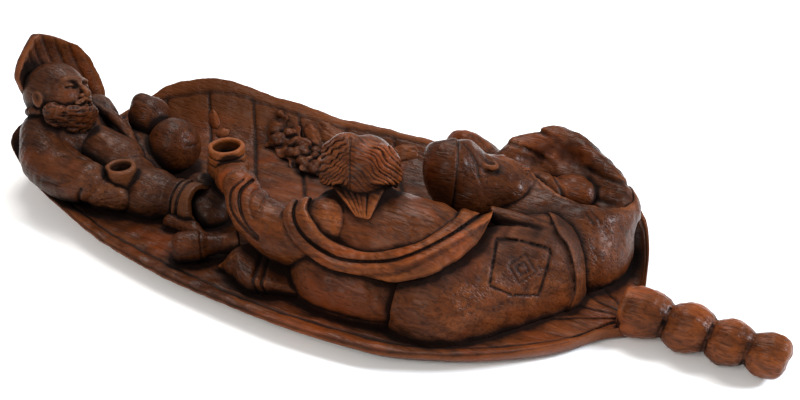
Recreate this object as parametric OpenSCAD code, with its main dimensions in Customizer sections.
// Carved wooden leaf dish that holds incense: a long leaf with a curled tip and a bamboo
// handle, and on its floor three robed figures, two of whom raise a small wine cup. Incense
// stands in the cups and the leaf catches the ash.
// Millimetres. +Z is up, +X runs to the handle's end, and the far rim is at +Y. The origin
// is on the flat underside, on the line of the handle.

/* [Leaf] */
// Thickness of the leaf's wood at its floor and at its rim
leaf_thick = 6; // [5:0.5:7]
// Stations of the leaf from the handle to its far end
leaf_steps = 32; // [24:2:40]
// Stations across the leaf
leaf_across = 16; // [16:4:24]
// Height of the curled tip that stands up behind the elder
tip_height = 78.5; // [72:0.5:80]
// Thickness of the curled tip
tip_thick = 6; // [5:0.5:7]
// How far the curled tip leans back, in degrees from upright
tip_lean = 11; // [8:1:13]

/* [Handle] */
// Number of bamboo segments
handle_segments = 4; // [3:1:5]
// Length of one bamboo segment
segment_length = 17.2; // [16:0.2:18]
// Radius at the fat of a segment
segment_radius = 10.2; // [9.5:0.1:10.4]
// Radius at the groove between two segments
groove_radius = 8.2; // [7.5:0.1:8.8]

/* [Cups] */
// Outside radius of the drinker's cup
big_cup_radius = 9.6; // [9:0.1:10]
// Bore radius of the drinker's cup
big_cup_bore = 7; // [6.5:0.1:7.4]
// Depth of the drinker's cup
big_cup_depth = 11; // [9:0.5:12]
// Outside radius of the elder's cup
small_cup_radius = 7.6; // [7.2:0.1:8]
// Bore radius of the elder's cup
small_cup_bore = 5.4; // [5:0.1:5.6]
// Depth of the elder's cup
small_cup_depth = 9; // [8:0.5:10]

/* [Hidden] */

wood = "#6e3a22";
dark_wood = "#54291a";
facets = 20;          // sides of each carved mass
fit_gap = 0.06;       // room that a carved mass leaves round a turned one

// Where the handle meets the leaf, where the floor starts to rise, and the leaf's far end
handle_start = 132;
rise_start = -180;
leaf_end = -216;
end_rise = 14;
handle_axis_z = 10.5;
end_trim = 2.7;       // the last segment is this much shorter than the others

// Half width of the leaf at places along it: [x, width], near side and far side
near_edge = [[-216, 28], [-212, 40], [-206, 48], [-195, 54], [-180, 60], [-150, 68], [-110, 77],
    [-60, 83], [-10, 84.5], [40, 80], [70, 68], [95, 51], [113, 34], [125, 20], [132, 12]];
far_edge = [[-216, 24], [-212, 36], [-205, 43], [-195, 49], [-180, 55], [-150, 63], [-110, 71],
    [-60, 79], [-10, 84], [40, 90], [75, 92], [98, 88], [112, 74], [122, 50], [128, 28], [132, 14]];
// Height of the rim at places along it: [x, height]
near_rim = [[-216, 32], [-206, 29], [-190, 24], [-170, 18], [-150, 15], [-110, 11], [-60, 10],
    [132, 10]];
far_rim = [[-216, 16], [-206, 14], [-198, 16], [-188, 22], [-174, 30], [-158, 35], [-140, 33],
    [-95, 24], [-60, 21], [0, 19], [75, 18], [132, 13]];
// Edges of the curled tip at heights above the floor: [z, y], near side and far side
tip_near = [[9, -38], [27, -43], [33, -42], [40, -37], [48, -34], [55, -35], [62, -35.5],
    [68, -32], [73, -27], [77, -19], [78.5, -16]];
tip_far = [[9, 24], [15, 23], [20, 21], [27, 18], [40, 19.5], [48, 18], [55, 15], [62, 9.5],
    [68, 4], [73, -4], [77, -9], [78.5, -12]];
tip_foot = [-198, 9]; // x and z of the foot of the curled tip
tip_steps = 16;
tip_cup = 7;          // how far the edges of the tip bend forward
flat_share = 0.5;     // share of the half width whose underside is flat
rim_start = leaf_across * (1 - flat_share) / 2;  // step across the leaf where it turns up

// Cup places: [x, y] of the axis and the height of the rim
big_cup = [-84, -13, 43];
small_cup = [-131, -42, 32];

// ---- shared shapes ----

// A rounded mass with its own radii along X, Y and Z
module mass(at, radii, turn = [0, 0, 0], sides = facets) {
    translate(at)
        rotate(turn)
            scale(radii)
                sphere(r = 1, $fn = sides);
}

// A tapering limb through the given points
module limb(points, radii) {
    for (i = [0 : len(points) - 2])
        hull() {
            translate(points[i]) sphere(r = radii[i], $fn = facets);
            translate(points[i + 1]) sphere(r = radii[i + 1], $fn = facets);
        }
}

// Keeps a carved mass as one smooth skin
module carved(tone = wood) {
    color(tone)
        resize([0, 0, 0])
            children();
}

// Everything that a carved mass stands on is taken out of it
module on_leaf() {
    difference() {
        children();
        leaf_solid();
        tip_solid();
        translate([-300, -200, -80]) cube([600, 400, 80 + leaf_thick / 2]);
    }
}

// First child, less all the others
module mass_less() {
    on_leaf()
        difference() {
            children(0);
            children([1 : $children - 1]);
        }
}

// ---- leaf ----

// How far a point across the leaf has turned up, from 0 on the floor to 1 at the rim
function turned_up(s) = pow(max(0, (abs(s) - flat_share) / (1 - flat_share)), 2.6);

// Height of the underside on the leaf's middle line
function underside(x) = end_rise * pow(max(0, (rise_start - x) / (rise_start - leaf_end)), 2);

// A ring of points round one section of the leaf, from step `first` to step `last` across it:
// the top from near to far, then the bottom back
function leaf_section(x, first, last) =
    let (base = underside(x), wn = lookup(x, near_edge), wf = lookup(x, far_edge),
         hn = max(0, lookup(x, near_rim) - leaf_thick - base),
         hf = max(0, lookup(x, far_rim) - leaf_thick - base))
    [for (top = [1, 0], j = [first : last])
        let (k = top == 1 ? j : first + last - j, s = -1 + 2 * k / leaf_across,
             w = s < 0 ? wn : wf, h = s < 0 ? hn : hf)
        [x, s * w * (top == 1 ? 1 : 0.985), base + top * leaf_thick + h * turned_up(s)]];

// The same for the curled tip at height z, front face from near to far, then back face
function tip_section(z) =
    let (x = tip_foot[0] - (z - tip_foot[1]) * tan(tip_lean),
         yn = lookup(z, tip_near), yf = lookup(z, tip_far))
    [for (front = [1, 0], j = [0 : leaf_across])
        let (k = front == 1 ? j : leaf_across - j, s = -1 + 2 * k / leaf_across,
             y = (yn + yf) / 2 + s * (yf - yn) / 2)
        [x + front * tip_thick + tip_cup * s * s * min(1, (yf - yn) / 40), y, z]];

// Skins a row of rings into one closed solid
module skinned(rings) {
    n = len(rings[0]);
    last = len(rings) - 1;
    polyhedron(
        points = [for (r = rings) each r],
        faces = concat(
            [[for (j = [0 : n - 1]) j]],
            [for (i = [0 : last - 1], j = [0 : n - 1])
                [i * n + j, (i + 1) * n + j, (i + 1) * n + (j + 1) % n]],
            [for (i = [0 : last - 1], j = [0 : n - 1])
                [i * n + j, (i + 1) * n + (j + 1) % n, i * n + (j + 1) % n]],
            [[for (j = [n - 1 : -1 : 0]) last * n + j]]),
        convexity = 6);
}

module leaf_solid(first = 0, last = leaf_across) {
    skinned([for (i = [0 : leaf_steps])
        leaf_section(handle_start + (leaf_end - handle_start) * i / leaf_steps, first, last)]);
}

module tip_solid() {
    skinned([for (i = [0 : tip_steps])
        tip_section(tip_foot[1] + (tip_height - tip_foot[1]) * sin(90 * i / tip_steps))]);
}

module leaf_tray() {
    color(wood) leaf_solid(rim_start, leaf_across - rim_start);
}

module leaf_near_rim() {
    color(wood) leaf_solid(0, rim_start);
}

module leaf_far_rim() {
    color(wood) leaf_solid(leaf_across - rim_start, leaf_across);
}

module curled_leaf_tip() {
    carved() difference() {
        tip_solid();
        leaf_solid();
    }
}

// ---- handle ----

module bamboo_handle() {
    bulge = segment_radius - groove_radius;
    color(wood)
        translate([handle_start, 0, handle_axis_z])
            rotate([0, 90, 0])
                for (i = [0 : handle_segments - 1])
                    translate([0, 0, i * segment_length])
                        bamboo_segment(bulge, i == handle_segments - 1);
}

// One segment: two cones that meet in a fat middle
module bamboo_segment(bulge, is_last) {
    shoulder = 4.5;
    rotate_extrude($fn = 64)
        polygon([
            [0, 0],
            [groove_radius, 0],
            [segment_radius, shoulder],
            [segment_radius, segment_length - shoulder],
            [groove_radius, segment_length - (is_last ? end_trim : 0)],
            [0, segment_length - (is_last ? end_trim : 0)],
        ]);
}

// ---- elder: sits against the curled tip and holds up the small cup ----

module elder_head_mass() {
    mass([-192, -25, 52], [17, 16, 17]);
}

module elder_beard_mass() {
    mass([-182, -36, 39], [12, 10, 10], [0, 0, -30]);
}

module elder_robe_mass() {
    mass([-184, -27, 28], [26, 26, 27], [0, 0, -20]);
}

module elder_lap_mass() {
    mass([-160, -18, 18], [26, 26, 17]);
}

module elder_chest_mass() {
    limb([[-176, -24, 42], [-152, -22, 28]], [13, 14]);
}

module elder_sleeve_mass() {
    limb([[-188, -42, 34], [-166, -54, 26], [-143, -56, 21]], [12, 12, 10]);
}

module elder_hand_mass() {
    limb([[-143, -56, 21], [-131, -49, 15]], [8, 7.5]);
}

module elder_leg_mass() {
    limb([[-140, -28, 14], [-113, -28, 14]], [14, 12]);
}

module elder_shoe_mass() {
    limb([[-106, -28, 13], [-92, -28, 11]], [10, 8]);
}

module small_cup_room() {
    cup_room(small_cup, small_cup_radius, small_cup_depth);
}

module elder_head() {
    carved() on_leaf() elder_head_mass();
}

module elder_beard() {
    carved() mass_less() {
        elder_beard_mass();
        elder_head_mass();
    }
}

module elder_chest() {
    carved() mass_less() {
        elder_chest_mass();
        elder_head_mass();
        elder_beard_mass();
    }
}

module elder_robe() {
    carved() mass_less() {
        elder_robe_mass();
        elder_head_mass();
        elder_beard_mass();
        elder_chest_mass();
        elder_sleeve_mass();
    }
}

module elder_lap() {
    carved() mass_less() {
        elder_lap_mass();
        elder_robe_mass();
        elder_chest_mass();
        elder_sleeve_mass();
        elder_hand_mass();
        elder_leg_mass();
        gourd_room();
        small_cup_room();
    }
}

module elder_sleeve() {
    carved() mass_less() {
        elder_sleeve_mass();
        elder_head_mass();
        elder_beard_mass();
        elder_chest_mass();
        elder_hand_mass();
        elder_leg_mass();
        small_cup_room();
    }
}

module elder_hand() {
    carved() mass_less() {
        elder_hand_mass();
        elder_chest_mass();
        elder_leg_mass();
        small_cup_room();
    }
}

module elder_leg() {
    carved() mass_less() {
        elder_leg_mass();
        elder_chest_mass();
        gourd_room();
        small_cup_room();
    }
}

module elder_shoe() {
    carved() mass_less() {
        elder_shoe_mass();
        elder_leg_mass();
    }
}

module elder_cup() {
    cup(small_cup, small_cup_radius, small_cup_bore, small_cup_depth);
}

// ---- cups: turned round bores that the incense stands in ----

cup_base = 3;         // wood under the bore

module cup(rim, outside, bore, depth) {
    color(wood)
        translate([rim[0], rim[1], rim[2] - depth - cup_base])
            difference() {
                cylinder(r = outside, h = depth + cup_base, $fn = 64);
                translate([0, 0, cup_base]) cylinder(r = bore, h = depth + 1, $fn = 64);
            }
}

// Room that a hand leaves for its cup
module cup_room(rim, outside, depth) {
    translate([rim[0], rim[1], rim[2] - depth - cup_base])
        cylinder(r = outside + fit_gap, h = depth + cup_base + 30, $fn = 64);
}

// ---- gourd bottle ----

gourd_big = [-134, 3, 20];
gourd_neck = [-146, 8, 26];
gourd_small = [-157, 13, 31];
gourd_big_radius = 14.5;
gourd_neck_radius = 7.5;
gourd_small_radius = 11;

module gourd_shape(extra = 0, sides = 48) {
    difference() {
        union() {
            translate(gourd_big) sphere(r = gourd_big_radius + extra, $fn = sides);
            translate(gourd_neck) sphere(r = gourd_neck_radius + extra, $fn = sides);
            translate(gourd_small) sphere(r = gourd_small_radius + extra, $fn = sides);
        }
        translate(gourd_big - [60, 60, 40 + gourd_big[2] - leaf_thick]) cube([120, 120, 40]);
    }
}

module gourd_bottle() {
    color(dark_wood) gourd_shape();
}

module gourd_room() {
    gourd_shape(0.3, 24);
}

// ---- drinker: seen from behind, raises the large cup ----

module drinker_head_mass() {
    mass([3, -20, 57], [20, 17, 20], [0, 0, 10]);
}

module drinker_braid_mass() {
    limb([[8, -32, 50], [20, -52, 44]], [8, 4]);
}

module drinker_back_mass() {
    mass([23, -28, 24], [36, 27, 28], [0, 0, 10]);
}

module drinker_sash_mass() {
    limb([[-14, -44, 44], [2, -55, 39], [18, -60, 36], [36, -56, 36], [49, -44, 38],
        [58, -28, 41], [62, -10, 44]], [5, 6, 6.5, 6.5, 6.5, 6, 4]);
}

module drinker_sleeve_mass() {
    limb([[-4, -38, 36], [-20, -50, 25], [-44, -44, 34], [-56, -37, 44]], [14, 14, 13, 10]);
}

module drinker_hand_mass() {
    limb([[-56, -37, 44], [-78, -18, 36]], [8.5, 10]);
}

module drinker_skirt_mass() {
    mass([8, -44, 15], [28, 24, 19]);
}

module drinker_hip_mass() {
    hull() {
        mass([66, -34, 18], [26, 26, 18]);
        mass([80, -4, 22], [27, 32, 22]);
        mass([56, -44, 18], [14, 14, 17]);
    }
}

module drinker_shoe_mass() {
    limb([[-46, -60, 12], [-30, -62, 14], [-14, -54, 14]], [7, 9.5, 11]);
}

module big_cup_room() {
    cup_room(big_cup, big_cup_radius, big_cup_depth);
}

module drinker_head() {
    carved() mass_less() {
        drinker_head_mass();
        sleeper_head_mass();
    }
}

module drinker_braid() {
    carved() mass_less() {
        drinker_braid_mass();
        drinker_head_mass();
    }
}

module drinker_sash() {
    carved() mass_less() {
        drinker_sash_mass();
        drinker_head_mass();
        drinker_braid_mass();
        sleeper_head_mass();
    }
}

module drinker_back() {
    carved() mass_less() {
        drinker_back_mass();
        drinker_head_mass();
        drinker_braid_mass();
        drinker_sash_mass();
        sleeper_head_mass();
    }
}

module drinker_sleeve() {
    carved() mass_less() {
        drinker_sleeve_mass();
        drinker_head_mass();
        drinker_braid_mass();
        drinker_sash_mass();
        drinker_back_mass();
        drinker_hand_mass();
    }
}

module drinker_hand() {
    carved() mass_less() {
        drinker_hand_mass();
        big_cup_room();
    }
}

module drinker_cup() {
    cup(big_cup, big_cup_radius, big_cup_bore, big_cup_depth);
}

module drinker_hip_robe() {
    carved() mass_less() {
        drinker_hip_mass();
        drinker_sash_mass();
        drinker_back_mass();
        sleeper_head_mass();
    }
}

module drinker_skirt() {
    carved() mass_less() {
        drinker_skirt_mass();
        drinker_sash_mass();
        drinker_back_mass();
        drinker_sleeve_mass();
        drinker_hip_mass();
    }
}

module drinker_shoe() {
    carved() mass_less() {
        drinker_shoe_mass();
        drinker_sleeve_mass();
        drinker_skirt_mass();
        drinker_back_mass();
        drinker_sash_mass();
    }
}

// ---- sleeper: lies on the far side with the head beside the drinker's shoulder ----

module sleeper_head_mass() {
    mass([35, 25, 37], [23, 18, 18], [0, 0, 20]);
}

module sleeper_robe_mass() {
    hull() {
        mass([70, 34, 26], [18, 22, 16]);
        mass([96, 30, 20], [18, 28, 20]);
    }
}

module sleeper_belly_mass() {
    mass([82, 46, 36], [13, 12, 9]);
}

module sleeper_sleeve_mass() {
    limb([[42, 68, 36], [54, 84, 38], [73, 80, 39], [91, 68, 37], [105, 53, 31]],
        [6, 7, 8, 8, 7]);
    limb([[50, 74, 20], [74, 72, 20], [97, 55, 18]], [12, 14, 11]);
}

module sleeper_head() {
    carved() on_leaf() sleeper_head_mass();
}

module sleeper_belly() {
    carved() mass_less() {
        sleeper_belly_mass();
        sleeper_sleeve_mass();
    }
}

module sleeper_sleeve() {
    carved() mass_less() {
        sleeper_sleeve_mass();
        sleeper_head_mass();
    }
}

module sleeper_robe() {
    carved() mass_less() {
        sleeper_robe_mass();
        sleeper_head_mass();
        sleeper_belly_mass();
        sleeper_sleeve_mass();
        drinker_hip_mass();
        drinker_sash_mass();
        drinker_back_mass();
    }
}

// ---- fruit spray on the far rim, jug and twig on the floor ----

module fruit_cluster_mass() {
    for (i = [0 : 13]) {
        run = i % 7;
        row = floor(i / 7);
        mass([-104 + run * 7, 62 - run * 3 - row * 8, 22 - run * 0.6 - row * 3],
            [6.5, 6.5, 6 + (i % 3)], sides = 8);
    }
}

module spray_leaf_mass() {
    hull() {
        mass([-82, 66, 22], [5, 5, 4]);
        mass([-64, 66, 22], [10, 10, 5]);
        mass([-44, 66, 20], [6, 6, 4]);
    }
}

module fruit_cluster() {
    carved(dark_wood) mass_less() {
        fruit_cluster_mass();
        spray_leaf_mass();
    }
}

module spray_leaf() {
    carved() on_leaf() spray_leaf_mass();
}

jug_at = [-76, -68, 14];
jug_turn = [0, 90, 40];

module wine_jug() {
    carved(dark_wood)
        on_leaf()
            translate(jug_at)
                rotate(jug_turn)
                    rotate_extrude($fn = 24)
                        polygon([[0, 0], [6, 0], [8, 3], [8, 13], [5, 16], [4, 19], [6, 22], [0, 22]]);
}

module floor_twig() {
    carved() mass_less() {
        limb([[-98, -44, 9], [-84, -45, 10], [-73, -49, 10]], [4, 3.5, 3]);
        elder_leg_mass();
    }
}

leaf_tray();
leaf_near_rim();
leaf_far_rim();
curled_leaf_tip();
bamboo_handle();
elder_head();
elder_beard();
elder_chest();
elder_robe();
elder_lap();
elder_sleeve();
elder_hand();
elder_cup();
elder_leg();
elder_shoe();
gourd_bottle();
drinker_head();
drinker_braid();
drinker_back();
drinker_sash();
drinker_sleeve();
drinker_hand();
drinker_cup();
drinker_skirt();
drinker_hip_robe();
drinker_shoe();
sleeper_head();
sleeper_robe();
sleeper_belly();
sleeper_sleeve();
fruit_cluster();
spray_leaf();
wine_jug();
floor_twig();
